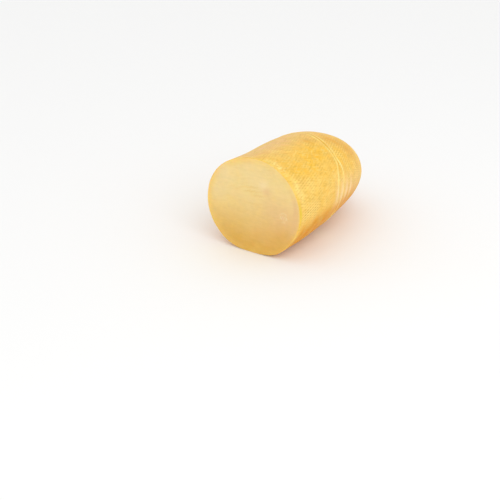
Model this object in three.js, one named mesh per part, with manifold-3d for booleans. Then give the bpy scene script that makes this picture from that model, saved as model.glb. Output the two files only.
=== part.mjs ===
// A provolone log, cut across and lying on its side: one solid of cheese with its rind.
// The log runs along +Y, from the flat cut face to the domed far end. +X is to the right as seen
// from the cut face and +Z is up. Lengths are millimetres, and angles round the section start at
// +X and turn towards +Z. The origin is on the ground, under the middle of the log's box.

import * as THREE from 'three';
import { ParametricGeometry } from 'three/addons/geometries/ParametricGeometry.js';
import { mergeVertices } from 'three/addons/utils/BufferGeometryUtils.js';
import Module from 'manifold-3d';

const { degToRad, lerp } = THREE.MathUtils;

// Overall form
const LENGTH = 194; // cut face to the tip of the dome
const HALF_WIDTH = 58.4; // at the cut face
const HALF_HEIGHT = 59.7; // at the cut face, before the underside settles
const FAR_WIDTH_SHARE = 1.02; // the log slumps a little wider towards the far end
const FAR_HEIGHT_SHARE = 0.92; // and lower
const SIDE_BOW = 5.8; // how far the middle bows to the right

// The domed far end: a bluntness of 2 is an ellipse, and more is squarer
const DOME_SHARE = 0.6; // share of the length that rounds off
const DOME_BLUNTNESS_FROM_ABOVE = 3;
const DOME_BLUNTNESS_FROM_SIDE = 2.2;
const TIP_HEIGHT_SHARE = 0.46; // of the log's full height

// The underside, pressed flat by the log's own weight
const SETTLE_DEPTH = 5;
const SETTLE_EASE = 2; // height over which the flat eases into the round side

// The cut: a slightly rounded rim, and a face where the knife wandered
const RIM_RADIUS = 1.2;
const CUT_WANDER = 0.35; // height of the knife's waves
const CUT_WAVE_UP = 46; // distance from wave to wave, up the face
const CUT_WAVE_ACROSS = 71;
const CUT_WANDER_REACH = 30; // how far along the rind the rim's wander dies out

// A small flake torn out of the cut face: its place on the face and its half sizes
const FLAKE = { x: 38.5, z: 52.5, halfWidth: 4.2, depth: 0.8, halfHeight: 4.8 };

// Gentle lumps: waves round the section and along the log, height, and phase in degrees
const SWELLS = [
  { round: 2, along: 0, height: 1, phase: 56 },
  { round: 3, along: 0, height: 1, phase: -30 },
  { round: 4, along: 1.6, height: 0.22, phase: 40 },
  { round: 5, along: -2.3, height: 0.18, phase: 110 },
  { round: 7, along: 3.1, height: 0.12, phase: 200 },
];

// The mark that a doubled hanging string has pressed into the rind: a groove with a lip on both
// sides, in a slightly slanting ring round the log
const MARK_ALONG = 99.3; // mean distance from the cut face
const MARK_SLANT_SIDEWAYS = -13.6; // added at the right, taken off at the left
const MARK_SLANT_UPWARDS = 9; // added at the top, taken off at the underside
const MARK_REACH = 5; // half the width that the mark takes up
const GROOVE = { offset: 0, height: -0.7, width: 1.3 };
const LIPS = [
  { offset: -3, height: 0.45, width: 1.2 },
  { offset: 3, height: 0.35, width: 1.2 },
];

// Soft wrinkles that run beside the mark on both sides, low on the log's right
const WRINKLE_PITCH = 6;
const WRINKLE_HEIGHT = 0.22;
const WRINKLE_REACH = 17; // from the mark's middle
const WRINKLE_ANGLE = degToRad(6);
const WRINKLE_SPREAD = degToRad(26);

// How finely the surface is divided
const SEGMENTS = 84;
const FACE_RINGS = 7;
const RIM_RINGS = 3;
const FRONT_RINGS = 12;
const WRINKLE_RINGS = 9;
const MARK_RINGS = 11;
const DOME_RINGS = 17;
const FLAKE_SEGMENTS = 12;
const MERGE_DISTANCE = 1e-4;

const RIND_YELLOW = 0xf3bf62;
const RIND_ROUGHNESS = 0.55;

const QUARTER_TURN = Math.PI / 2;
const FULL_TURN = 2 * Math.PI;

// A smooth hump of the given height, centred on an offset and about its width to each side.
function hump({ offset, height, width }, distance) {
  const spread = (distance - offset) / width;
  return height * Math.exp(-spread * spread);
}

// How far along the log the string's groove runs at an angle round the section.
function markAlong(angle) {
  return MARK_ALONG + MARK_SLANT_SIDEWAYS * Math.cos(angle) + MARK_SLANT_UPWARDS * Math.sin(angle);
}

function swellHeight(along, angle) {
  const travelled = FULL_TURN * (along / LENGTH);
  return SWELLS.reduce((sum, swell) => {
    const wave = swell.round * angle + swell.along * travelled + degToRad(swell.phase);
    return sum + swell.height * Math.sin(wave);
  }, 0);
}

function wrinkleHeight(distance, angle) {
  const beside = Math.abs(distance) - MARK_REACH;
  const width = WRINKLE_REACH - MARK_REACH;
  if (beside < 0 || beside > width) return 0;
  const turn = Math.atan2(Math.sin(angle - WRINKLE_ANGLE), Math.cos(angle - WRINKLE_ANGLE));
  const nearness = hump({ offset: 0, height: 1, width: WRINKLE_SPREAD }, turn);
  const fade = Math.sin((Math.PI * beside) / width);
  const wave = -Math.cos((FULL_TURN * beside) / WRINKLE_PITCH);
  return WRINKLE_HEIGHT * nearness * fade * wave;
}

function reliefHeight(along, angle) {
  const distance = along - markAlong(angle);
  const mark = [GROOVE, ...LIPS].reduce((sum, shape) => sum + hump(shape, distance), 0);
  return mark + wrinkleHeight(distance, angle);
}

// How much of the full section is left where the dome has rounded it off.
function domeScale(along, bluntness) {
  const start = LENGTH * (1 - DOME_SHARE);
  const progress = Math.max(0, (along - start) / (LENGTH - start));
  return Math.max(0, 1 - progress ** bluntness) ** (1 / bluntness);
}

// Heights below the ground are brought up to it, with a short curve into what stays above.
function settle(height) {
  if (height > SETTLE_EASE) return height;
  if (height < -SETTLE_EASE) return 0;
  return (height + SETTLE_EASE) ** 2 / (4 * SETTLE_EASE);
}

function cutWander(x, z) {
  const up = Math.sin((FULL_TURN * z) / CUT_WAVE_UP);
  const across = Math.cos((FULL_TURN * x) / CUT_WAVE_ACROSS);
  return (CUT_WANDER * (up + across)) / 2;
}

// The rind's surface at a distance along the log and an angle round its section.
function rindPoint(along, angle) {
  const travelled = along / LENGTH;
  const wide = lerp(1, FAR_WIDTH_SHARE, travelled);
  const high = lerp(1, FAR_HEIGHT_SHARE, travelled);
  const lumps = swellHeight(along, angle) + reliefHeight(along, angle);
  const across = (HALF_WIDTH + lumps) * wide * Math.cos(angle);
  const above = (HALF_HEIGHT + lumps) * high * Math.sin(angle);
  const middle = HALF_HEIGHT * high - SETTLE_DEPTH;
  const tip = 2 * HALF_HEIGHT * high * TIP_HEIGHT_SHARE - SETTLE_DEPTH;
  const bow = SIDE_BOW * 4 * travelled * (1 - travelled);
  const x = across * domeScale(along, DOME_BLUNTNESS_FROM_ABOVE) + bow;
  const z = settle(lerp(tip, middle + above, domeScale(along, DOME_BLUNTNESS_FROM_SIDE)));
  return new THREE.Vector3(x, along, z);
}

// The rings that the surface is drawn through, from the middle of the cut face to the dome's tip.
// share is the part of the way out from the log's middle line, and along gives each ring's course.
function makeRings() {
  const rings = [];
  const rimShare = RIM_RADIUS / HALF_WIDTH;
  for (let i = 0; i < FACE_RINGS; i += 1) {
    rings.push({ share: ((1 - rimShare) * i) / FACE_RINGS, along: () => 0 });
  }
  for (let i = 0; i <= RIM_RINGS; i += 1) {
    const turn = (QUARTER_TURN * i) / RIM_RINGS;
    const share = 1 - rimShare * (1 - Math.sin(turn));
    rings.push({ share, along: () => RIM_RADIUS * (1 - Math.cos(turn)) });
  }
  const stretch = (count, from, to, ease) => {
    for (let i = 1; i <= count; i += 1) {
      const step = ease(i / count);
      rings.push({ share: 1, along: (angle) => lerp(from(angle), to(angle), step) });
    }
  };
  const even = (step) => step;
  const closing = (step) => Math.sin(QUARTER_TURN * step);
  const wrinkleStart = (angle) => markAlong(angle) - WRINKLE_REACH;
  const markStart = (angle) => markAlong(angle) - MARK_REACH;
  const markEnd = (angle) => markAlong(angle) + MARK_REACH;
  const wrinkleEnd = (angle) => markAlong(angle) + WRINKLE_REACH;
  stretch(FRONT_RINGS, () => RIM_RADIUS, wrinkleStart, even);
  stretch(WRINKLE_RINGS, wrinkleStart, markStart, even);
  stretch(MARK_RINGS, markStart, markEnd, even);
  stretch(WRINKLE_RINGS, markEnd, wrinkleEnd, even);
  stretch(DOME_RINGS, wrinkleEnd, () => LENGTH, closing);
  return rings;
}

// A closed skin through all the rings, with the seam and both poles merged.
function makeSkin() {
  const rings = makeRings();
  const faceMiddle = new THREE.Vector3(0, 0, HALF_HEIGHT - SETTLE_DEPTH);
  const surface = (u, v, target) => {
    const ring = rings[Math.round(u * (rings.length - 1))];
    const angle = (FULL_TURN * (Math.round(v * SEGMENTS) % SEGMENTS)) / SEGMENTS;
    const along = ring.along(angle);
    const rind = rindPoint(along, angle);
    target.lerpVectors(faceMiddle, rind, ring.share);
    const fade = Math.max(0, 1 - along / CUT_WANDER_REACH);
    target.y = along + cutWander(target.x, target.z) * fade;
  };
  const grid = new ParametricGeometry(surface, rings.length - 1, SEGMENTS);
  grid.deleteAttribute('normal');
  grid.deleteAttribute('uv');
  const merged = mergeVertices(grid, MERGE_DISTANCE);
  merged.setIndex(withoutCollapsedTriangles(merged.index.array));
  return merged;
}

function withoutCollapsedTriangles(indices) {
  const kept = [];
  for (let i = 0; i < indices.length; i += 3) {
    const [a, b, c] = indices.slice(i, i + 3);
    if (a !== b && b !== c && c !== a) kept.push(a, b, c);
  }
  return kept;
}

function makeFlake() {
  const flake = new THREE.SphereGeometry(1, FLAKE_SEGMENTS, FLAKE_SEGMENTS / 2);
  flake.deleteAttribute('normal');
  flake.deleteAttribute('uv');
  flake.scale(FLAKE.halfWidth, FLAKE.depth, FLAKE.halfHeight);
  flake.translate(FLAKE.x, 0, FLAKE.z);
  return mergeVertices(flake, MERGE_DISTANCE);
}

function toSolid(wasm, geometry) {
  const vertProperties = new Float32Array(geometry.attributes.position.array);
  const triVerts = new Uint32Array(geometry.index.array);
  return new wasm.Manifold(new wasm.Mesh({ numProp: 3, vertProperties, triVerts }));
}

function toGeometry(solid) {
  const mesh = solid.getMesh();
  const geometry = new THREE.BufferGeometry();
  geometry.setAttribute('position', new THREE.BufferAttribute(mesh.vertProperties, 3));
  geometry.setIndex(new THREE.BufferAttribute(mesh.triVerts, 1));
  return geometry;
}

// Moves the origin to the ground under the middle of the geometry's box.
function standOnOrigin(geometry) {
  geometry.computeBoundingBox();
  const { min, max } = geometry.boundingBox;
  geometry.translate(-(min.x + max.x) / 2, -(min.y + max.y) / 2, -min.z);
}

function makeCheese(wasm) {
  const log = toSolid(wasm, makeSkin());
  const flake = toSolid(wasm, makeFlake());
  const geometry = toGeometry(log.subtract(flake));
  standOnOrigin(geometry);
  geometry.computeVertexNormals();
  const material = new THREE.MeshStandardMaterial({
    color: RIND_YELLOW,
    roughness: RIND_ROUGHNESS,
    metalness: 0,
  });
  const cheese = new THREE.Mesh(geometry, material);
  cheese.name = 'cheese_log';
  return cheese;
}

const wasm = await Module();
wasm.setup();

const provolone = new THREE.Group();
provolone.add(makeCheese(wasm));

export default provolone;
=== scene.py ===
"""A provolone log with one end cut flat, lying on its side on a pale floor.

The log lies along Y, with the cut end towards -Y and the domed end towards +Y, and Z is up. Angles
round its section start at +X and turn towards +Z. Settings are metres, and MM turns millimetres
into them.
"""

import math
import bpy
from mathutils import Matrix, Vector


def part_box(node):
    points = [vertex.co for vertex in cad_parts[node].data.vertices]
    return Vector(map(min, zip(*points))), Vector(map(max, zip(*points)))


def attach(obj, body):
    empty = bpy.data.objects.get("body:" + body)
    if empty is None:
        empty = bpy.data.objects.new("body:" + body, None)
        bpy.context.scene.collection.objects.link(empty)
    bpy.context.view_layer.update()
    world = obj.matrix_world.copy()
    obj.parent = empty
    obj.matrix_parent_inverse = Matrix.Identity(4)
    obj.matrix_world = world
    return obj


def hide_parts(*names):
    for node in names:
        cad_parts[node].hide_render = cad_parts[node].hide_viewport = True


bl_info = {
    "name": "Provolone Log",
    "version": (1, 0, 0),
    "blender": (4, 5, 0),
    "location": "View3D > Sidebar > Cheese",
    "description": "Models a cut provolone log with the marks of its net and string in the rind",
    "category": "Add Mesh",
}

from collections import namedtuple

import bpy
import numpy as np
from mathutils import Matrix, Vector

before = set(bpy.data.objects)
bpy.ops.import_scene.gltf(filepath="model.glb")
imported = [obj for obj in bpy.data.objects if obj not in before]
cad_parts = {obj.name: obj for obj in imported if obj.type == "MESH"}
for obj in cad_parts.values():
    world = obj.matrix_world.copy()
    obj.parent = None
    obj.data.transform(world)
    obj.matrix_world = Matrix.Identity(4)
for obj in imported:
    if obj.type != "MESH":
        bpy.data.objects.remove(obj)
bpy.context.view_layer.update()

MM = 0.001
FULL_TURN = 2 * math.pi

LOG_NODE = "cheese_log"
LOG_BODY = "root"
LOG_PIECE = "provolone_log"

# The log's own form, as its solid has it. The cut's slight waves come forward by the wander.
LOW_CORNER, HIGH_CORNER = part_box(LOG_NODE)
CUT_WANDER = 0.35 * MM
CUT_Y = LOW_CORNER.y + CUT_WANDER
LENGTH = HIGH_CORNER.y - CUT_Y
CUT_MIDDLE_X = -2.97 * MM
HALF_WIDTH = 58.4 * MM
HALF_HEIGHT = 59.7 * MM
FAR_WIDTH_SHARE = 1.02
FAR_HEIGHT_SHARE = 0.92
SETTLE_DEPTH = 5 * MM
SIDE_BOW = 5.8 * MM
DOME_SHARE = 0.6
DOME_BLUNTNESS_FROM_ABOVE = 3
DOME_BLUNTNESS_FROM_SIDE = 2.2
TIP_HEIGHT_SHARE = 0.46
RIM_RADIUS = 1.2 * MM

# How the skin softens that form: the edges of the flat underneath, and the low right flank
FLAT_EDGE_LIFT = 1.6 * MM
FLAT_EDGE_REACH = 9 * MM
NARROW_FLAT = 6 * MM
FULL_FLAT = 14 * MM
FLANK_DEPTH = 2.8 * MM

# The ring that the string pressed in, slanting round the log, and the folds beside it
MARK_ALONG = 99.3 * MM
MARK_SLANT_SIDEWAYS = -13.6 * MM
MARK_SLANT_UPWARDS = 9 * MM
MARK_REACH = 5 * MM
LIP_WIDTH = 1.1 * MM
LIP_COLOUR_NARROWNESS = 1.3
GROOVE_WIDTH = 1.3 * MM
TIGHT_GAP = 6 * MM
WRINKLE_REACH = 17 * MM
WRINKLE_PITCH = 6 * MM
STRIPE_PITCH = 10.8 * MM
STRIPE_START = 1.5 * MM

# The courses of the string's two strands: angles in degrees, and millimetres from the mark's
# middle. The ease is the turns, in degrees, over which a course is rounded off.
NEAR_STRAND = (
    (-40, -3), (0, -6), (12, -9), (30, -5.5), (36, -1), (60, -1), (76, 0.5), (90, 2), (130, -3))
FAR_STRAND = (
    (-40, 3), (12, 3), (21, 5.5), (34, 5.2), (42, 2.6), (66, 5), (76, 6.6), (88, 8.6), (130, 3))
STRAND_EASE = (-3, -1.5, 0, 1.5, 3)

# The cage that the skin is drawn over: columns round the log and rings along it
COLUMNS = 204
RIM_RINGS = 2
FRONT_RINGS = 38
MARK_RINGS = 28
DOME_RINGS = 30
LAST_RING_SHARE = 0.97
MERGE_DISTANCE = 0.01 * MM
SMOOTHING = 0.5
SMOOTHING_PASSES = 30
SMOOTH_BEHIND = 3 * MM
SMOOTH_ABOVE = 0.4 * MM

# The net: where its ends meet, how loose it lay, and how strongly the threads that rise show
# between those that fall. The rind's strokes lean as it does, in radians to the metre.
SEAM_ANGLE = math.radians(-90)
NET_SLACK = 0.7
NET_SLACK_SIZE = 17 * MM
FAINT_THREAD = 0.4
NET_LEAN = 6.0
STROKE_SHORTENING = 0.22

# The strokes that the knife dragged across the cut
DRAG_SLOPE = math.radians(19)
DRAG_PITCH = 4.6 * MM
FINE_DRAG_PITCH = 2.9 * MM
DRAG_SWAY = 1.8 * MM
DRAG_SWAY_LENGTH = 52 * MM

# The small flake torn out of the cut face, and the tears in its pit, side by side
FLAKE_X = 38.5 * MM
FLAKE_Z = 52.5 * MM
FLAKE_HALF_WIDTH = 4.2 * MM
FLAKE_HALF_HEIGHT = 4.8 * MM
FLAKE_REACH = 9 * MM
TEAR_OFFSETS = (-3.4 * MM, -1.2 * MM, 1.1 * MM, 3.3 * MM)
TEAR_WIDTH = 0.6 * MM
TEAR_HEIGHT = 3.4 * MM
TEAR_LEAN = 0.5

# How squarely a vertex or a face looks out of the cut to be part of it
CUT_VERTEX_FACING = 0.9
CUT_FACE_FACING = 0.8

# Soft patches round the log. Each is an amount, the distance from the cut and the angle of its
# middle, and its reach along the log and round it, in millimetres and degrees.
ROUND_PATCHES = {
    "flank": ((1, 110, -48, 66, 32),),
    "net": (
        (0.95, 21, 3, 14, 9.5), (0.35, 20, 38, 15, 10), (0.4, 104, 46, 14, 12),
        (0.3, 122, 58, 16, 14), (0.35, 60, 150, 40, 22), (0.3, 140, 200, 30, 25),
        (0.4, 135, 10, 25, 20)),
    "gold": (
        (1, 66, 58, 28, 19), (0.75, 22, 50, 15, 12), (0.5, 112, 46, 26, 22),
        (0.5, 128, 62, 22, 26), (0.5, 80, 165, 60, 30), (0.4, 150, 110, 30, 30)),
    # Tan is partly the rind's own dull pink and partly painted sheen: the long band along the top
    # and the patch low on the dome's right
    "tan": (
        (0.95, 56, 106, 90, 21), (0.6, 106, 6, 20, 13), (0.5, 11, 98, 5, 4),
        (0.8, 128, -2, 18, 16), (0.3, 70, 10, 14, 10), (0.4, 60, 200, 40, 25)),
    "pale": (
        (0.8, 6, 26, 5, 16), (0.35, 6, 40, 13, 13), (0.55, 2, 70, 8, 12), (0.35, 24, 28, 22, 9),
        (0.35, 72, 44, 9, 5), (0.35, 80, 18, 10, 12), (0.3, 100, 190, 40, 20)),
    # Amber is partly the rind's own orange blotches and partly painted shade and warm bounce light:
    # the patches low on the log, at angles below zero, are painted shade
    "amber_and_shade": (
        (0.45, 90, 79, 9, 6), (0.3, 88, 41, 4, 4), (0.25, 36, -13, 9, 6),
        (0.4, 140, -22, 36, 22), (0.45, 66, -13, 28, 9), (0.45, 98, -9, 18, 9),
        (0.2, 118, 72, 14, 12), (0.55, 140, 47, 18, 16), (0.4, 128, 66, 14, 12)),
}

# Soft round patches of the cut face: an amount, the middle's x and z, and the reach, in millimetres
CUT_PATCHES = {
    "drag": ((0.9, -5, 69, 17), (0.3, 20, 40, 20)),
    # Painted shade and warm bounce light on the low right of the cut face
    "low": ((0.35, 42, 30, 18),),
    "cloud": (
        (1, 12.7, 84, 6), (0.3, -2, 94, 14), (0.6, -38, 90, 13), (0.25, -44, 62, 12)),
    # The large blush patch on the right of the face (x 40, z 51) is painted shade; the others are
    # the paste's own dull pink
    "blush_and_shade": (
        (0.8, 17, 78, 5), (0.3, -44, 92, 10), (0.9, 40, 51, 19), (0.35, 22, 62, 12),
        (0.3, 20, 30, 22)),
}

# What the rind and the paste have in common as materials
CHEESE_IOR = 1.42
CHEESE_SPECULAR = 0.2
CHEESE_LIGHT_REACH = (1.0, 0.5, 0.2)

# The key light and the camera
KEY_PLACE = Vector((0.9, -0.7, 1.1))
KEY_AIM = Vector((0, 0, 0.05))
KEY_SIZE = 1.2
CAMERA_PLACE = (0.559010, -1.079974, 0.587904)
CAMERA_HEADING = math.radians(29.829)
CAMERA_DOWN = math.radians(27.326)
CAMERA_ROLL = math.radians(1.8057)
SENSOR_WIDTH = 36
NEAREST_IN_VIEW = 0.01

# The sockets of a Mix node that hold colours
MIX_UNDER = 6
MIX_OVER = 7
MIX_RESULT = 2

DRIFT_WAVES = 12
LEAST_WEIGHT = 0.01


def display_colour(red, green, blue):
    """A colour as a screen shows it, from 0 to 255, as the linear light that the shaders use."""
    return tuple((channel / 255) ** 2.2 for channel in (red, green, blue))


# --- settings ---------------------------------------------------------------------------------


class LogSizes(bpy.types.PropertyGroup):
    """The sizes of what is pressed into the rind and left on the cut face."""

    net_threads: bpy.props.IntProperty(
        name="Net threads", description="Threads of the net that lean each way round the log",
        default=120, min=20, max=140)
    net_cell: bpy.props.FloatProperty(
        name="Net cell", description="Length of one cell of the net, along the log",
        default=9.6 * MM, min=4 * MM, subtype="DISTANCE", unit="LENGTH")
    net_depth: bpy.props.FloatProperty(
        name="Net depth", description="How deep the net's threads are pressed in",
        default=0.26 * MM, min=0, subtype="DISTANCE", unit="LENGTH")
    groove_depth: bpy.props.FloatProperty(
        name="String groove", description="Depth of the groove that the string left",
        default=0.6 * MM, min=0, subtype="DISTANCE", unit="LENGTH")
    lip_height: bpy.props.FloatProperty(
        name="String lips", description="Height of the lips on both sides of the groove",
        default=0.45 * MM, min=0, subtype="DISTANCE", unit="LENGTH")
    wrinkle_height: bpy.props.FloatProperty(
        name="Wrinkles", description="Height of the fine wrinkles beside the string's mark",
        default=0.2 * MM, min=0, subtype="DISTANCE", unit="LENGTH")
    drag_depth: bpy.props.FloatProperty(
        name="Knife drag", description="Depth of the strokes that the knife left on the cut",
        default=0.10 * MM, min=0, subtype="DISTANCE", unit="LENGTH")
    tear_depth: bpy.props.FloatProperty(
        name="Tears", description="Depth of the tears where a flake broke out of the cut face",
        default=0.35 * MM, min=0, subtype="DISTANCE", unit="LENGTH")
    crumb_height: bpy.props.FloatProperty(
        name="Crumbs", description="Height of the crumbs along the rim of the cut",
        default=0.4 * MM, min=0, subtype="DISTANCE", unit="LENGTH")


class LogTones(bpy.types.PropertyGroup):
    """The colours of the rind and of the paste inside it."""

    rind: bpy.props.FloatVectorProperty(
        name="Rind", description="Main yellow of the rind",
        subtype="COLOR", default=display_colour(247, 197, 90))
    gold: bpy.props.FloatVectorProperty(
        name="Golden patches", description="Where the rind is a deeper, clearer yellow",
        subtype="COLOR", default=display_colour(249, 191, 58))
    # Partly the rind's own dull pink, partly painted sheen along the top of the log
    tan: bpy.props.FloatVectorProperty(
        name="Tan patches", description="Where the rind is dull and slightly pink",
        subtype="COLOR", default=display_colour(239, 188, 120))
    # Partly the rind's own orange, partly painted shade and warm bounce light low on the log
    amber_and_shade: bpy.props.FloatVectorProperty(
        name="Amber underside", description="Where the rind has darkened, low on the log",
        subtype="COLOR", default=display_colour(224, 144, 10))
    pale: bpy.props.FloatVectorProperty(
        name="Pale flecks", description="Thin places and pale strokes of the rind",
        subtype="COLOR", default=display_colour(251, 219, 130))
    # Painted shade in what the net and the string pressed in, and the tone of the rind's darker
    # streaks
    recess_shade_and_streaks: bpy.props.FloatVectorProperty(
        name="Net shadow", description="The bottom of what the net and the string pressed in",
        subtype="COLOR", default=display_colour(212, 154, 44))
    paste: bpy.props.FloatVectorProperty(
        name="Paste", description="The pale cheese inside",
        subtype="COLOR", default=display_colour(240, 212, 146))
    # Painted shade and warm bounce light low on the cut, also the tone of the knife's strokes
    butter_and_shade: bpy.props.FloatVectorProperty(
        name="Low paste", description="The warmer paste low on the cut",
        subtype="COLOR", default=display_colour(222, 174, 84))
    cream: bpy.props.FloatVectorProperty(
        name="Cream", description="The palest clouds and the tears in the paste",
        subtype="COLOR", default=display_colour(246, 222, 172))
    # The paste's own dull pink, and painted shade on the right of the cut face
    blush_and_shade: bpy.props.FloatVectorProperty(
        name="Blush", description="Dull, slightly pink places in the paste",
        subtype="COLOR", default=display_colour(230, 187, 134))
    edge: bpy.props.FloatVectorProperty(
        name="Cut edge", description="The deeper yellow of the paste just under the rind",
        subtype="COLOR", default=display_colour(246, 206, 112))
    strand: bpy.props.FloatVectorProperty(
        name="String lips", description="The light yellow lips that the string raised",
        subtype="COLOR", default=display_colour(255, 232, 148))
    # Partly painted sheen, on the crests of the stripes and wrinkles beside the string's mark
    stripe_and_sheen: bpy.props.FloatVectorProperty(
        name="Stripes", description="Pale, slightly pink stripes across the string's mark",
        subtype="COLOR", default=display_colour(250, 214, 160))
    rim: bpy.props.FloatVectorProperty(
        name="Rim", description="The thin line of clear yellow along the rim of the cut",
        subtype="COLOR", default=display_colour(234, 200, 72))


class StageSettings(bpy.types.PropertyGroup):
    """The floor, the lights and the camera."""

    floor_size: bpy.props.FloatProperty(
        name="Floor size", description="Side of the square floor", default=6.0,
        subtype="DISTANCE", unit="LENGTH")
    floor_colour: bpy.props.FloatVectorProperty(
        name="Floor", description="Colour of the floor", subtype="COLOR",
        default=(0.97, 0.97, 0.965))
    surround: bpy.props.FloatProperty(
        name="Surround", description="Strength of the light that comes from all round",
        default=0.92, min=0)
    key_power: bpy.props.FloatProperty(
        name="Key light", description="Power of the large soft light, in watts", default=4.0,
        min=0)
    focal_length: bpy.props.FloatProperty(
        name="Focal length", description="Of the camera, in millimetres", default=82.465)


# --- small helpers ----------------------------------------------------------------------------


def deselect_all():
    """Leaves edit mode, and leaves nothing selected."""
    if bpy.context.object and bpy.context.object.mode != "OBJECT":
        bpy.ops.object.mode_set(mode="OBJECT")
    for chosen in list(bpy.context.selected_objects):
        chosen.select_set(False)


def take_up(piece):
    """Makes a piece the only selected object, and the active one."""
    deselect_all()
    piece.select_set(True)
    bpy.context.view_layer.objects.active = piece


def choose_vertices(piece, wanted):
    """Opens a piece in edit mode with just the wanted vertices selected."""
    take_up(piece)
    mesh = piece.data
    mesh.polygons.foreach_set("select", np.zeros(len(mesh.polygons), bool))
    mesh.edges.foreach_set("select", np.zeros(len(mesh.edges), bool))
    mesh.vertices.foreach_set("select", wanted)
    bpy.ops.object.mode_set(mode="EDIT")
    bpy.ops.mesh.select_mode(type="VERT")


def apply_modifier(piece, kind, **settings):
    """Adds a modifier with its settings, and applies it."""
    take_up(piece)
    modifier = piece.modifiers.new(kind.title(), kind)
    for name, value in settings.items():
        setattr(modifier, name, value)
    bpy.ops.object.modifier_apply(modifier=modifier.name)


def hump(distance, width):
    """1 in the middle, falling smoothly to nothing at about twice the width."""
    return np.exp(-((distance / width) ** 2))


def between(value, start, end):
    """0 up to the start, 1 from the end on, and a smooth rise from one to the other."""
    share = np.clip((value - start) / (end - start), 0, 1)
    return share * share * (3 - 2 * share)


def drift(places, size, seed):
    """Slow random waves, from -1 to 1, with lumps of about a size."""
    draw = np.random.default_rng(seed)
    total = 0
    for _ in range(DRIFT_WAVES):
        direction = draw.normal(size=3)
        reach = 2 * size * draw.uniform(0.7, 1.4) * np.linalg.norm(direction)
        total = total + np.sin(places @ direction * FULL_TURN / reach + draw.uniform(0, FULL_TURN))
    return np.clip(total / math.sqrt(DRIFT_WAVES), -1, 1)


# --- the log's form ---------------------------------------------------------------------------

Ring = namedtuple("Ring", "middle half_width half_height tilt")


def dome_scale(along, bluntness):
    """How much of the full section is left where the dome has rounded it off."""
    start = LENGTH * (1 - DOME_SHARE)
    progress = np.clip((along - start) / (LENGTH - start), 0, 1)
    return (1 - progress**bluntness) ** (1 / bluntness)


def section(along):
    """Middle x and z, half width and half height of the section at a distance from the cut."""
    travelled = along / LENGTH
    high = 1 + (FAR_HEIGHT_SHARE - 1) * travelled
    wide = 1 + (FAR_WIDTH_SHARE - 1) * travelled
    from_above = dome_scale(along, DOME_BLUNTNESS_FROM_ABOVE)
    from_side = dome_scale(along, DOME_BLUNTNESS_FROM_SIDE)
    middle_x = CUT_MIDDLE_X + SIDE_BOW * 4 * travelled * (1 - travelled)
    tip_z = 2 * HALF_HEIGHT * high * TIP_HEIGHT_SHARE - SETTLE_DEPTH
    full_z = HALF_HEIGHT * high - SETTLE_DEPTH
    middle_z = tip_z + (full_z - tip_z) * from_side
    return middle_x, middle_z, HALF_WIDTH * wide * from_above, HALF_HEIGHT * high * from_side


def make_ring(along, tilt):
    """The cage's ring at a distance from the cut, leaning by a share of the mark's slant."""
    x, z, half_width, half_height = section(along)
    return Ring(Vector((x, CUT_Y + along, z)), half_width, half_height, tilt)


def plan_rings():
    """The cage's rings after the cut face: the rim, the front, the string's mark and the dome.

    The rings lean over step by step to run along the mark, and straighten again on the dome."""
    rings = []
    for i in range(1, RIM_RINGS + 1):
        turn = math.pi / 2 * i / RIM_RINGS
        rim = make_ring(0, 0)
        shrink = RIM_RADIUS * (1 - math.sin(turn))
        forward = Vector((0, RIM_RADIUS * (1 - math.cos(turn)), 0))
        rings.append(
            Ring(rim.middle + forward, rim.half_width - shrink, rim.half_height - shrink, 0))
    mark_start = MARK_ALONG - WRINKLE_REACH
    mark_end = MARK_ALONG + WRINKLE_REACH
    for i in range(1, FRONT_RINGS + 1):
        step = i / FRONT_RINGS
        rings.append(make_ring(RIM_RADIUS + (mark_start - RIM_RADIUS) * step, step))
    for i in range(1, MARK_RINGS + 1):
        step = i / MARK_RINGS
        rings.append(make_ring(mark_start + (mark_end - mark_start) * step, 1))
    for i in range(1, DOME_RINGS + 1):
        turn = math.pi / 2 * LAST_RING_SHARE * i / DOME_RINGS
        along = mark_end + (LENGTH - mark_end) * math.sin(turn)
        rings.append(make_ring(along, math.cos(turn)))
    return rings


def lean(ring, tilt):
    """Turns the selected ring by a share of the mark's slant. With no window, rotate turns the
    other way round, so positive angles bring the right side nearer and push the top away."""
    sideways = math.atan2(-MARK_SLANT_SIDEWAYS, HALF_WIDTH) * tilt
    upwards = math.atan2(MARK_SLANT_UPWARDS, HALF_HEIGHT) * tilt
    bpy.ops.transform.rotate(value=sideways, orient_axis="Z", center_override=ring.middle)
    bpy.ops.transform.rotate(value=upwards, orient_axis="X", center_override=ring.middle)


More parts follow.
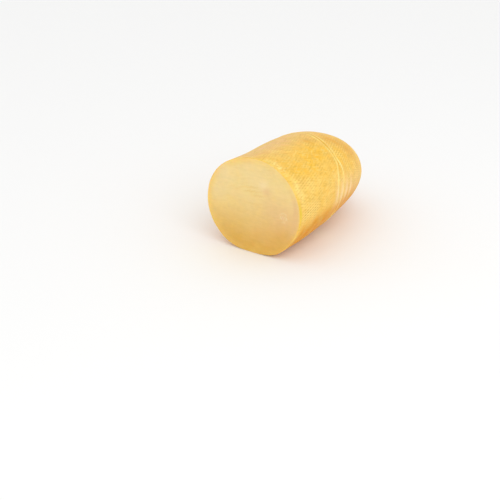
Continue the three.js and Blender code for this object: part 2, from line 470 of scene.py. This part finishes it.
def make_cage():
    """The log's cage: a grid over the cut face, drawn out ring by ring and closed at the tip."""
    deselect_all()
    cut = make_ring(0, 0)
    inset = RIM_RADIUS
    bpy.ops.mesh.primitive_circle_add(
        vertices=COLUMNS, radius=cut.half_width - inset, fill_type="NOTHING",
        location=cut.middle, rotation=(math.pi / 2, 0, 0))
    cage = bpy.context.object
    cage.name = LOG_PIECE
    cage.data.name = LOG_PIECE
    bpy.ops.object.transform_apply(location=True, rotation=True, scale=True)
    bpy.ops.object.mode_set(mode="EDIT")
    bpy.ops.mesh.select_all(action="SELECT")
    bpy.ops.mesh.fill_grid(span=COLUMNS // 4)
    bpy.ops.mesh.select_mode(type="EDGE")
    bpy.ops.mesh.select_all(action="DESELECT")
    bpy.ops.mesh.select_non_manifold(
        use_wire=False, use_multi_face=False, use_non_contiguous=False, use_verts=False)
    before = Ring(cut.middle, cut.half_width - inset, cut.half_height - inset, 0)
    for ring in plan_rings():
        step = ring.middle - before.middle
        bpy.ops.mesh.extrude_region_move(TRANSFORM_OT_translate={"value": step})
        widen = ring.half_width / before.half_width
        heighten = ring.half_height / before.half_height
        bpy.ops.transform.resize(value=(widen, 1, heighten), center_override=ring.middle)
        if ring.tilt != before.tilt:
            lean(ring, ring.tilt - before.tilt)
        before = ring
    bpy.ops.mesh.extrude_region_move(TRANSFORM_OT_translate={"value": (0, 0, 0)})
    bpy.ops.mesh.merge(type="COLLAPSE")
    bpy.ops.mesh.select_all(action="SELECT")
    bpy.ops.mesh.normals_make_consistent(inside=False)
    bpy.ops.object.mode_set(mode="OBJECT")
    return cage


def make_former():
    """A merged copy of the log's solid, for the cage to be drawn onto."""
    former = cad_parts[LOG_NODE].copy()
    former.data = former.data.copy()
    former.name = "log_former"
    former.parent = None
    bpy.context.scene.collection.objects.link(former)
    take_up(former)
    bpy.ops.object.mode_set(mode="EDIT")
    bpy.ops.mesh.select_mode(type="VERT")
    bpy.ops.mesh.select_all(action="SELECT")
    bpy.ops.mesh.remove_doubles(threshold=MERGE_DISTANCE)
    bpy.ops.object.mode_set(mode="OBJECT")
    return former


def remove_object(piece):
    """Takes an object and its mesh out of the file."""
    mesh = piece.data
    bpy.data.objects.remove(piece)
    bpy.data.meshes.remove(mesh)


def vertex_places(mesh):
    """The places of a mesh's vertices, a row for each."""
    places = np.empty(len(mesh.vertices) * 3, np.float32)
    mesh.vertices.foreach_get("co", places)
    return places.reshape(-1, 3).astype(float)


def draw_skin(cage):
    """Draws the cage onto the solid, divides it finely and takes the solid's flats out."""
    former = make_former()
    apply_modifier(cage, "SHRINKWRAP", target=former, wrap_method="NEAREST_SURFACEPOINT")
    remove_object(former)
    apply_modifier(cage, "SUBSURF", levels=1, render_levels=1)
    places = vertex_places(cage.data)
    rind = (places[:, 1] - CUT_Y > SMOOTH_BEHIND) & (places[:, 2] > SMOOTH_ABOVE)
    choose_vertices(cage, rind)
    bpy.ops.mesh.vertices_smooth(factor=SMOOTHING, repeat=SMOOTHING_PASSES)
    bpy.ops.object.mode_set(mode="OBJECT")


def refine_flake(log):
    """Divides the cut face again round the torn flake."""
    places = vertex_places(log.data)
    across = places[:, 0] - (CUT_MIDDLE_X + FLAKE_X)
    up = places[:, 2] - FLAKE_Z
    near = (np.hypot(across, up) < FLAKE_REACH) & (places[:, 1] - CUT_Y < RIM_RADIUS)
    choose_vertices(log, near)
    bpy.ops.mesh.subdivide(number_cuts=1)
    bpy.ops.object.mode_set(mode="OBJECT")


# --- places on the log ------------------------------------------------------------------------


class LogPlaces:
    """Where each vertex lies on the log: along it, round it, and from the marks on it."""

    def __init__(self, mesh):
        self.places = vertex_places(mesh)
        self.along = self.places[:, 1] - CUT_Y
        self.section = section(np.clip(self.along, 0, LENGTH))
        middle_x, middle_z, half_width, half_height = self.section
        across = self.places[:, 0] - middle_x
        up = self.places[:, 2] - middle_z
        self.x = self.places[:, 0] - CUT_MIDDLE_X
        self.z = self.places[:, 2]
        self.angle = np.arctan2(up * half_width, across * half_height)
        self.radius = np.hypot(across, up)
        self.from_mark = self.along - (
            MARK_ALONG
            + MARK_SLANT_SIDEWAYS * np.cos(self.angle)
            + MARK_SLANT_UPWARDS * np.sin(self.angle))
        normals = np.empty(len(mesh.vertices) * 3, np.float32)
        mesh.vertices.foreach_get("normal", normals)
        normals = normals.reshape(-1, 3)
        self.on_cut = (normals[:, 1] < -CUT_VERTEX_FACING) & (self.along < RIM_RADIUS)
        self.on_rind = between(self.along, 0.4 * RIM_RADIUS, 2 * RIM_RADIUS)
        self.above_floor = between(self.z, 0.5 * MM, 4 * MM)
        self.from_edge = self.measure_from_edge()

    def measure_from_edge(self):
        """Distance inwards from the rim of the cut face."""
        rim = (self.along > 0.6 * RIM_RADIUS) & (self.along < 1.4 * RIM_RADIUS)
        order = np.argsort(self.angle[rim])
        outline = np.interp(
            self.angle, self.angle[rim][order], self.radius[rim][order], period=FULL_TURN)
        return outline - self.radius

    def facing(self, angle, reach):
        """1 where the log's side faces an angle, in degrees, and less the further it turns."""
        turn = self.angle - math.radians(angle)
        return hump(np.arctan2(np.sin(turn), np.cos(turn)), math.radians(reach))

    def near(self, along, angle, along_reach, angle_reach):
        """A soft patch of the rind, 1 in its middle, in millimetres and degrees."""
        return hump(self.along - along * MM, along_reach * MM) * self.facing(angle, angle_reach)

    def near_on_cut(self, x, z, reach):
        """A soft round patch of the cut face, 1 in its middle, in millimetres."""
        return hump(np.hypot(self.x - x * MM, self.z - z * MM), reach * MM)

    def patches(self, name, start=0):
        """All soft patches round the log under a name, added to a start."""
        return sum((amount * self.near(*where) for amount, *where in ROUND_PATCHES[name]), start)

    def cut_patches(self, name, start=0):
        """All soft patches of the cut face under a name, added to a start."""
        return sum(
            (amount * self.near_on_cut(*where) for amount, *where in CUT_PATCHES[name]), start)

    def twisted(self, direction):
        """The vertices' places in a space that is wound round the log, and short along it.

        What is round there is long on the log, and leans as the net's threads do."""
        turn = self.angle + direction * self.along * NET_LEAN
        radius = self.radius
        return np.stack(
            [radius * np.cos(turn), self.along * STROKE_SHORTENING, radius * np.sin(turn)], axis=1)


def net_phases(at, sizes):
    """How far each vertex lies through the waves of the net's threads, for both ways they lean."""
    angle = np.mod(at.angle - SEAM_ANGLE, FULL_TURN)
    pull = FULL_TURN * at.along / sizes.net_cell
    slack = NET_SLACK * drift(at.places, NET_SLACK_SIZE, seed=1)
    other_slack = NET_SLACK * drift(at.places, NET_SLACK_SIZE, seed=2)
    return sizes.net_threads * angle + pull + slack, sizes.net_threads * angle - pull + other_slack


def net_shows(at):
    """Where the net's imprint shows, from 0 to 1."""
    worn = 0.5 + 0.5 * drift(at.places, 7 * MM, seed=3)
    shows = np.clip(0.3 * worn + at.patches("net") * (0.75 + 0.25 * worn), 0, 1)
    shows = shows * (1 - between(at.along, 150 * MM, 188 * MM)) * (1 - at.facing(-90, 12))
    return shows * at.on_rind * at.above_floor


def thread_profile(phase):
    """1 in the middle of a thread, falling to 0 halfway to the next."""
    return ((1 + np.cos(phase)) / 2) ** 2


def strand_offset(at, course):
    """How far from the mark's middle a strand of the string ran, at each vertex's angle."""
    angles, offsets = zip(*course)
    turned = np.degrees(at.angle)
    nearby = [np.interp(turned + ease, angles, offsets) for ease in STRAND_EASE]
    return np.mean(nearby, axis=0) * MM


def groove_weights(at):
    """The groove between the two strands, shallow where they ran apart."""
    near, far = strand_offset(at, NEAR_STRAND), strand_offset(at, FAR_STRAND)
    deeper = 0.75 + 0.35 * drift(at.places, 20 * MM, seed=4)
    tight = np.clip(TIGHT_GAP / (far - near), 0, 1)
    return hump(at.from_mark - (near + far) / 2, GROOVE_WIDTH) * deeper * tight


def lip_weights(at):
    """The lips that the strands raised, one on each side of the groove."""
    higher = 0.8 + 0.3 * drift(at.places, 9 * MM, seed=5) + 0.5 * at.facing(31, 12)
    near = hump(at.from_mark - strand_offset(at, NEAR_STRAND), LIP_WIDTH)
    far = hump(at.from_mark - strand_offset(at, FAR_STRAND), LIP_WIDTH)
    return np.clip((near + far) * higher, 0, 1)


def stripe_weights(at):
    """Broad soft stripes across the string's mark, low on the log's right."""
    wave = ((1 + np.cos(FULL_TURN * (at.from_mark - STRIPE_START) / STRIPE_PITCH)) / 2) ** 1.5
    begins = between(at.from_mark, -15 * MM, -9 * MM)
    ends = between(at.from_mark, 24 * MM, 33 * MM)
    reach = begins * (1 - ends)
    return wave * reach * at.facing(3, 13)


def wrinkle_weights(at):
    """Soft ridges beside the string's mark, low on the log's right."""
    beside = np.abs(at.from_mark) - MARK_REACH
    share = np.clip(beside / (WRINKLE_REACH - MARK_REACH), 0, 1)
    wave = ((1 - np.cos(FULL_TURN * beside / WRINKLE_PITCH)) / 2) ** 1.5
    return at.facing(6, 26) * np.sin(math.pi * share) * wave


def drag_weights(at):
    """Strokes that the knife dragged across the cut, rising slightly to the right."""
    across = at.z * math.cos(DRAG_SLOPE) - at.x * math.sin(DRAG_SLOPE)
    sway = DRAG_SWAY * np.sin(FULL_TURN * at.x / DRAG_SWAY_LENGTH)
    wave = np.sin(FULL_TURN * (across + sway) / DRAG_PITCH)
    finer = np.sin(FULL_TURN * (across - sway) / FINE_DRAG_PITCH)
    strokes = np.clip(0.3 + 0.5 * wave + 0.4 * finer, 0, 1)
    worn = np.clip(0.4 + 0.6 * drift(at.places * (0.3, 1, 1), 4 * MM, seed=6), 0, 1)
    shows = np.clip(at.cut_patches("drag", 0.25), 0, 1)
    return strokes * worn * shows * at.on_cut * between(at.from_edge, 1.5 * MM, 6 * MM)


def tear_weights(at):
    """Short tears side by side in the flake's pit, leaning to the left."""
    across = at.x - FLAKE_X
    up = at.z - FLAKE_Z
    tears = 0
    for offset in TEAR_OFFSETS:
        line = across - offset + TEAR_LEAN * up
        height = TEAR_HEIGHT - 0.3 * abs(offset)
        tears = np.maximum(tears, hump(line, TEAR_WIDTH) * hump(up - 0.2 * offset, height))
    return tears * at.on_cut


def flake_ring_weights(at):
    """The crumbly edge round the flake's pit."""
    away = np.hypot((at.x - FLAKE_X) / FLAKE_HALF_WIDTH, (at.z - FLAKE_Z) / FLAKE_HALF_HEIGHT)
    broken = 0.45 + 0.8 * drift(at.places, 2.5 * MM, seed=8)
    return np.clip(hump(away - 1, 0.28) * broken, 0, 1) * at.on_cut


def crumb_weights(at):
    """Crumbs along the rim, high on the right, where the knife broke out of the rind."""
    crumbs = np.clip(2.2 * drift(at.places, 1.5 * MM, seed=7) - 0.2, 0, 1)
    return crumbs * at.near(4.5, 65, 5, 12)


def flat_edge_weights(at):
    """Both edges of the flat underneath, where the cheese rounds off softly."""
    middle_x, middle_z, half_width, half_height = at.section
    edge = half_width * np.sqrt(np.clip(1 - (middle_z / half_height) ** 2, 0, 1))
    across = np.abs(at.places[:, 0] - middle_x)
    return (
        hump(across - edge, FLAT_EDGE_REACH) * hump(at.z, FLAT_EDGE_REACH)
        * between(edge, NARROW_FLAT, FULL_FLAT))


def emboss(log, name, height, weights, direction="NORMAL"):
    """Raises the surface by a height where the weights are 1. A negative height presses it in."""
    group = log.vertex_groups.new(name=name)
    for index in np.flatnonzero(weights > LEAST_WEIGHT):
        group.add([int(index)], float(weights[index]), "REPLACE")
    apply_modifier(
        log, "DISPLACE", strength=height, mid_level=0, vertex_group=name, direction=direction)
    log.vertex_groups.clear()


def store(log, name, weights):
    """Keeps weights on the vertices, for the materials to read."""
    attribute = log.data.attributes.new(name, "FLOAT", "POINT")
    attribute.data.foreach_set("value", np.clip(weights, 0, 1).astype(np.float32))


def store_vectors(log, name, vectors):
    """Keeps a place or a set of three numbers on each vertex, for the materials to read."""
    attribute = log.data.attributes.new(name, "FLOAT_VECTOR", "POINT")
    attribute.data.foreach_set("vector", vectors.astype(np.float32).ravel())


def press_marks(log, sizes):
    """Presses each mark into the skin or raises it, and stores where it shows."""
    at = LogPlaces(log.data)
    falling, rising = net_phases(at, sizes)
    threads = thread_profile(rising) * (
        FAINT_THREAD + (1 - FAINT_THREAD) * thread_profile(falling))
    net, groove, lips = net_shows(at), groove_weights(at), lip_weights(at)
    wrinkles, stripes = wrinkle_weights(at), stripe_weights(at)
    crumbs, drag, tears = crumb_weights(at), drag_weights(at), tear_weights(at)
    mark_shows = at.on_rind * at.above_floor
    emboss(log, "flat_edges", FLAT_EDGE_LIFT, flat_edge_weights(at), direction="Z")
    reliefs = (
        ("flank", -FLANK_DEPTH, at.patches("flank")),
        ("net", -sizes.net_depth, threads * net),
        ("groove", -sizes.groove_depth, groove * mark_shows),
        ("lips", sizes.lip_height, lips * mark_shows),
        ("wrinkles", sizes.wrinkle_height, wrinkles * mark_shows),
        ("stripes", sizes.wrinkle_height, stripes * mark_shows),
        ("crumbs", sizes.crumb_height, crumbs),
        ("drag", -sizes.drag_depth, drag),
        ("tears", -sizes.tear_depth, tears),
    )
    for name, height, weights in reliefs:
        emboss(log, name, height, weights)
    # Painted shade in the string's groove, deeper where the groove faces 78 and 34 degrees
    groove_shade = 0.25 + 0.75 * np.clip(at.facing(78, 14) + at.facing(34, 9), 0, 1)
    # The stripes' pale colour, laid on the wrinkles' crests too, is partly painted sheen
    shows = {
        "net": net, "groove": groove * groove_shade, "lips": lips**LIP_COLOUR_NARROWNESS,
        "stripes": np.maximum(stripes, 0.4 * wrinkles), "crumbs": crumbs, "drag": drag,
        "tears": tears, "flake_ring": flake_ring_weights(at)}
    for name, weights in shows.items():
        store(log, name, weights)
    store_vectors(log, "net_phases", np.stack([falling, rising, 0 * rising], axis=1))
    store_rind_tones(log, at)
    store_cut_tones(log, at)


def store_rind_tones(log, at):
    """Where each tone of the rind lies, and the two spaces that its strokes lean in."""
    # Painted shade and warm bounce light: the amber grows towards the bottom of the log, except
    # right at the cut
    low = 2.2 * (1 - between(at.z, 6 * MM, 57 * MM)) * between(at.along, -1 * MM, 13 * MM)
    for name in ("gold", "tan", "pale"):
        store(log, name, at.patches(name))
    store(log, "amber_and_shade", at.patches("amber_and_shade", low))
    store_vectors(log, "lean_one", at.twisted(1))
    store_vectors(log, "lean_other", at.twisted(-1))


def store_cut_tones(log, at):
    """Where each tone of the cut face lies."""
    band = 1 - between(at.from_edge, 1 * MM, 10 * MM)
    line = hump(at.from_edge + 0.2 * MM, 1.3 * MM) * (at.along < 3 * RIM_RADIUS)
    flushed = 0.9 * hump(at.from_edge - 5 * MM, 3 * MM) * at.facing(3, 26)
    store(log, "edge", band * np.clip(0.15 + at.facing(150, 75), 0, 1))
    store(log, "rim", line * np.clip(0.08 + at.facing(6, 10), 0, 1))
    # Painted shade and warm bounce light: the low tone grows towards the bottom of the cut face
    store(log, "low", at.cut_patches("low", 1 - between(at.z, 2 * MM, 76 * MM)))
    store(log, "cloud", at.cut_patches("cloud"))
    # Partly painted shade on the right of the cut face
    store(log, "blush_and_shade", at.cut_patches("blush_and_shade", flushed))


# --- finishes ---------------------------------------------------------------------------------


class Finish:
    """A material that is built up in steps, each returning the socket that holds its result."""

    def __init__(self, name):
        self.material = bpy.data.materials.new(name)
        self.material.use_nodes = True
        self.tree = self.material.node_tree
        self.shader = self.tree.nodes["Principled BSDF"]
        self.place = self.add("ShaderNodeTexCoord").outputs["Object"]

    def add(self, kind, **settings):
        """A new node with its settings."""
        node = self.tree.nodes.new(kind)
        for name, value in settings.items():
            setattr(node, name, value)
        return node

    def set(self, socket, value):
        """Links a socket to another one, or gives it a number or a colour."""
        if isinstance(value, bpy.types.NodeSocket):
            self.tree.links.new(value, socket)
        elif hasattr(value, "__len__") and len(value) == 3 and len(socket.default_value) == 4:
            socket.default_value = (*value, 1)
        else:
            socket.default_value = value

    def weight(self, name):
        """What is stored on the vertices under a name."""
        return self.add("ShaderNodeAttribute", attribute_name=name).outputs["Fac"]

    def space(self, name):
        """A place that is stored on the vertices under a name."""
        return self.add("ShaderNodeAttribute", attribute_name=name).outputs["Vector"]

    def noise(
            self, size, detail=2, roughness=0.5, stretch=(1, 1, 1), offset=(0, 0, 0), space=None):
        """Cloudy noise with lumps of about a size, drawn out where the stretch is under 1."""
        mapping = self.add("ShaderNodeMapping")
        self.set(mapping.inputs["Vector"], space or self.place)
        mapping.inputs["Scale"].default_value = stretch
        mapping.inputs["Location"].default_value = offset
        noise = self.add("ShaderNodeTexNoise")
        self.set(noise.inputs["Vector"], mapping.outputs["Vector"])
        noise.inputs["Scale"].default_value = 1 / size
        noise.inputs["Detail"].default_value = detail
        noise.inputs["Roughness"].default_value = roughness
        return noise.outputs["Fac"]

    def span(self, value, low, high, to_low=0.0, to_high=1.0):
        """Maps a range of values to another, and holds what lies outside at its ends."""
        node = self.add("ShaderNodeMapRange", interpolation_type="SMOOTHSTEP")
        for socket, number in zip(node.inputs, (value, low, high, to_low, to_high)):
            self.set(socket, number)
        return node.outputs["Result"]

    def threads(self, phases):
        """1 on the threads of a net, from how far each place lies through their waves."""
        split = self.add("ShaderNodeSeparateXYZ")
        self.set(split.inputs[0], phases)
        falling = self.math("COSINE", split.outputs["X"], 0)
        rising = self.math("COSINE", split.outputs["Y"], 0)
        return self.math(
            "MULTIPLY", self.span(falling, -0.5, 0.9, FAINT_THREAD, 1),
            self.span(rising, -0.5, 0.9))

    def math(self, operation, first, second, clamp=False):
        """The result of a sum on one or two sockets or numbers."""
        node = self.add("ShaderNodeMath", operation=operation, use_clamp=clamp)
        self.set(node.inputs[0], first)
        self.set(node.inputs[1], second)
        return node.outputs["Value"]

    def mix(self, under, over, amount):
        """One colour laid over another by an amount from 0 to 1."""
        node = self.add("ShaderNodeMix", data_type="RGBA")
        self.set(node.inputs["Factor"], amount)
        self.set(node.inputs[MIX_UNDER], under)
        self.set(node.inputs[MIX_OVER], over)
        return node.outputs[MIX_RESULT]

    def shade(self, colour, amount):
        """A colour made lighter or darker by a factor."""
        node = self.add("ShaderNodeVectorMath", operation="SCALE")
        self.set(node.inputs[0], colour)
        self.set(node.inputs["Scale"], amount)
        return node.outputs["Vector"]

    def bumps(self, *layers):
        """Fine relief from pairs of a height field and its full height in metres."""
        normal = None
        for height, distance in layers:
            bump = self.add("ShaderNodeBump")
            bump.inputs["Strength"].default_value = 1
            bump.inputs["Distance"].default_value = distance
            self.set(bump.inputs["Height"], height)
            if normal is not None:
                self.set(bump.inputs["Normal"], normal)
            normal = bump.outputs["Normal"]
        self.set(self.shader.inputs["Normal"], normal)


def finish_body(finish, colour, subsurface, subsurface_scale, roughness):
    """What the rind and the paste have in common: soft, slightly waxy and letting light in."""
    shader = finish.shader
    finish.set(shader.inputs["Base Color"], colour)
    finish.set(shader.inputs["Roughness"], roughness)
    shader.inputs["Subsurface Weight"].default_value = subsurface
    shader.inputs["Subsurface Radius"].default_value = CHEESE_LIGHT_REACH
    shader.inputs["Subsurface Scale"].default_value = subsurface_scale
    shader.inputs["IOR"].default_value = CHEESE_IOR
    shader.inputs["Specular IOR Level"].default_value = CHEESE_SPECULAR


def rind_finish(tones):
    """Waxy golden rind: cloudy patches, leaning strokes, the net and string showing paler, and
    painted shade and sheen.
    """
    rind = Finish("provolone_rind")
    clouds = rind.noise(26 * MM, detail=3)
    blotches = rind.noise(8 * MM, detail=3, offset=(0.3, 0.1, 0.2))
    flecks = rind.noise(1.4 * MM, detail=2, roughness=0.6, offset=(0.7, 0.2, 0.5))
    one = rind.noise(2.2 * MM, detail=2, space=rind.space("lean_one"))
    other = rind.noise(2.2 * MM, detail=2, offset=(0.4, 0.2, 0), space=rind.space("lean_other"))
    pale_strokes = rind.math("MAXIMUM", one, other)
    dark_strokes = rind.math("MINIMUM", one, other)
    patchy = rind.span(blotches, 0.3, 0.7, 0.55, 1.25)
    evenly = rind.span(blotches, 0.3, 0.7, 0.85, 1.1)
    # Fewer pale strokes where the amber and its painted shade lie
    less_amber_and_shade = rind.span(rind.weight("amber_and_shade"), 0, 1, 1, 0.4)

    colour = rind.mix(tones.rind, tones.pale, rind.span(clouds, 0.5, 0.75, 0, 0.35))
    colour = rind.mix(colour, tones.gold, rind.span(clouds, 0.5, 0.25, 0, 0.65))
    # Tan carries painted sheen along the top, and amber painted shade and warm bounce light low on
    # the log
    for name in ("gold", "tan", "pale", "amber_and_shade"):
        patches = evenly if name == "amber_and_shade" else patchy
        amount = rind.math("MULTIPLY", rind.weight(name), patches, clamp=True)
        colour = rind.mix(colour, getattr(tones, name), amount)
    light = rind.math("MULTIPLY", less_amber_and_shade, rind.span(pale_strokes, 0.55, 0.72, 0, 0.5))
    colour = rind.mix(colour, tones.pale, light)
    colour = rind.mix(colour, tones.recess_shade_and_streaks, rind.span(dark_strokes, 0.45, 0.28, 0, 0.4))
    colour = rind.mix(colour, tones.gold, rind.span(flecks, 0.42, 0.25, 0, 0.5))
    # Painted shade where the net's threads pressed in
    threads = rind.threads(rind.space("net_phases"))
    net = rind.weight("net")
    colour = rind.mix(colour, tones.strand, rind.math("MULTIPLY", net, 0.45))
    colour = rind.mix(colour, tones.recess_shade_and_streaks, rind.math("MULTIPLY", net, threads))
    # The groove's colour is painted shade, and the stripes' colour partly painted sheen
    layers = {
        "lips": (tones.strand, 0.95), "groove": (tones.recess_shade_and_streaks, 0.6), "stripes": (tones.stripe_and_sheen, 0.8),
        "crumbs": (tones.strand, 0.85), "rim": (tones.rim, 0.85)}
    for name, (tone, amount) in layers.items():
        colour = rind.mix(colour, tone, rind.math("MULTIPLY", rind.weight(name), amount))
    colour = rind.shade(colour, rind.span(blotches, 0.3, 0.7, 0.955, 1.03))

    finish_body(rind, colour, 0.3, 2.2 * MM, rind.span(pale_strokes, 0.4, 0.7, 0.42, 0.56))
    rind.bumps(
        (pale_strokes, 0.22 * MM), (dark_strokes, 0.22 * MM), (flecks, 0.12 * MM))
    return rind.material


def paste_finish(tones):
    """The cut cheese: pale and buttery, deeper yellow under the rind, with faint knife strokes and
    painted shade low and on the right.
    """
    paste = Finish("provolone_paste")
    clouds = paste.noise(20 * MM, detail=3, offset=(0.2, 0, 0.4))
    curds = paste.noise(5 * MM, detail=3)
    grain = paste.noise(1.2 * MM, detail=2, roughness=0.6)
    strokes = paste.noise(2.2 * MM, detail=2, stretch=(0.16, 1, 1), offset=(0.1, 0, 0.3))

    # Painted shade and warm bounce light, deeper towards the bottom of the cut
    low = paste.math("MULTIPLY", paste.weight("low"), paste.span(clouds, 0.25, 0.75, 0.85, 1.12))
    colour = paste.mix(tones.paste, tones.butter_and_shade, low)
    colour = paste.mix(colour, tones.pale, paste.span(clouds, 0.5, 0.8, 0, 0.35))
    # The blush is partly painted shade on the right of the face
    layers = {
        "edge": (tones.edge, 0.75), "cloud": (tones.cream, 0.7), "blush_and_shade": (tones.blush_and_shade, 0.65),
        "drag": (tones.butter_and_shade, 0.35), "flake_ring": (tones.cream, 0.35),
        "tears": (tones.cream, 0.65), "rim": (tones.rim, 0.8)}
    for name, (tone, amount) in layers.items():
        colour = paste.mix(colour, tone, paste.math("MULTIPLY", paste.weight(name), amount))
    colour = paste.shade(colour, paste.span(curds, 0.3, 0.7, 0.985, 1.015))
    colour = paste.shade(colour, paste.span(strokes, 0.3, 0.7, 0.982, 1.014))

    finish_body(paste, colour, 0.45, 3.5 * MM, paste.span(curds, 0.3, 0.7, 0.4, 0.52))
    paste.bumps((strokes, 0.14 * MM), (curds, 0.14 * MM), (grain, 0.05 * MM))
    return paste.material


def dress_log(log, tones):
    """Gives the cut face the paste's finish and all the rest the rind's."""
    log.data.materials.append(rind_finish(tones))
    log.data.materials.append(paste_finish(tones))
    for face in log.data.polygons:
        across = face.center.x - CUT_MIDDLE_X - FLAKE_X
        in_flake = math.hypot(across, face.center.z - FLAKE_Z) < FLAKE_REACH
        depth = face.center.y - CUT_Y
        on_cut = face.normal.y < -CUT_FACE_FACING and depth < 0.5 * RIM_RADIUS
        face.material_index = 1 if on_cut or (in_flake and depth < RIM_RADIUS) else 0


# --- operators --------------------------------------------------------------------------------


class CHEESE_OT_log(bpy.types.Operator):
    """Model the log of cheese, with its rind, its marks and its cut face"""

    bl_idname = "cheese.log"
    bl_label = "Provolone log"

    def execute(self, context):
        log = make_cage()
        draw_skin(log)
        refine_flake(log)
        press_marks(log, context.scene.cheese_sizes)
        dress_log(log, context.scene.cheese_tones)
        take_up(log)
        bpy.ops.object.shade_smooth()
        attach(log, LOG_BODY)
        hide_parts(LOG_NODE)
        return {"FINISHED"}


class CHEESE_OT_stage(bpy.types.Operator):
    """Set up the pale floor, the soft light and the camera"""

    bl_idname = "cheese.stage"
    bl_label = "Stage"

    def execute(self, context):
        stage = context.scene.cheese_stage
        make_floor(stage)
        make_lights(stage)
        make_camera(stage)
        return {"FINISHED"}


def make_floor(stage):
    """The plain pale floor."""
    deselect_all()
    bpy.ops.mesh.primitive_plane_add(size=stage.floor_size, location=(0, 0, 0))
    floor = bpy.context.object
    floor.name = "floor"
    paper = Finish("floor_paper")
    paper.set(paper.shader.inputs["Base Color"], tuple(stage.floor_colour))
    paper.shader.inputs["Roughness"].default_value = 0.9
    paper.shader.inputs["Specular IOR Level"].default_value = 0.1
    floor.data.materials.append(paper.material)


def make_lights(stage):
    """Even light from all round, and one large soft light above the front right."""
    world = bpy.data.worlds.new("surround")
    bpy.context.scene.world = world
    world.use_nodes = True
    backdrop = world.node_tree.nodes["Background"]
    backdrop.inputs["Color"].default_value = (1, 1, 1, 1)
    backdrop.inputs["Strength"].default_value = stage.surround
    deselect_all()
    aim = (KEY_AIM - KEY_PLACE).to_track_quat("-Z", "Y").to_euler()
    bpy.ops.object.light_add(type="AREA", location=KEY_PLACE, rotation=aim)
    key = bpy.context.object
    key.name = "key_light"
    key.data.shape = "DISK"
    key.data.size = KEY_SIZE
    key.data.energy = stage.key_power


def make_camera(stage):
    """The camera, in front of the cut face, to its right and above it."""
    deselect_all()
    turn = (
        Matrix.Rotation(CAMERA_HEADING, 3, "Z")
        @ Matrix.Rotation(math.pi / 2 - CAMERA_DOWN, 3, "X")
        @ Matrix.Rotation(CAMERA_ROLL, 3, "Z"))
    bpy.ops.object.camera_add(location=CAMERA_PLACE, rotation=turn.to_euler())
    camera = bpy.context.object
    camera.name = "camera"
    camera.data.lens = stage.focal_length
    camera.data.sensor_width = SENSOR_WIDTH
    camera.data.clip_start = NEAREST_IN_VIEW
    bpy.context.scene.camera = camera
    bpy.context.scene.view_settings.view_transform = "Standard"


class CHEESE_PT_panel(bpy.types.Panel):
    """Everything that makes the cheese, in the 3D view's sidebar"""

    bl_idname = "CHEESE_PT_panel"
    bl_label = "Provolone Log"
    bl_space_type = "VIEW_3D"
    bl_region_type = "UI"
    bl_category = "Cheese"

    def draw(self, context):
        layout = self.layout
        for operator in (CHEESE_OT_log, CHEESE_OT_stage):
            layout.operator(operator.bl_idname)
        for name in ("cheese_sizes", "cheese_tones", "cheese_stage"):
            settings = getattr(context.scene, name)
            box = layout.box()
            for field in settings.__annotations__:
                box.prop(settings, field)


CLASSES = (LogSizes, LogTones, StageSettings, CHEESE_OT_log, CHEESE_OT_stage, CHEESE_PT_panel)
SCENE_SETTINGS = {
    "cheese_sizes": LogSizes,
    "cheese_tones": LogTones,
    "cheese_stage": StageSettings,
}


def register():
    for each in CLASSES:
        bpy.utils.register_class(each)
    for name, settings in SCENE_SETTINGS.items():
        setattr(bpy.types.Scene, name, bpy.props.PointerProperty(type=settings))


def unregister():
    for name in SCENE_SETTINGS:
        delattr(bpy.types.Scene, name)
    for each in reversed(CLASSES):
        bpy.utils.unregister_class(each)


def main():
    register()
    bpy.ops.cheese.stage()
    bpy.ops.cheese.log()


if __name__ == "__main__":
    main()
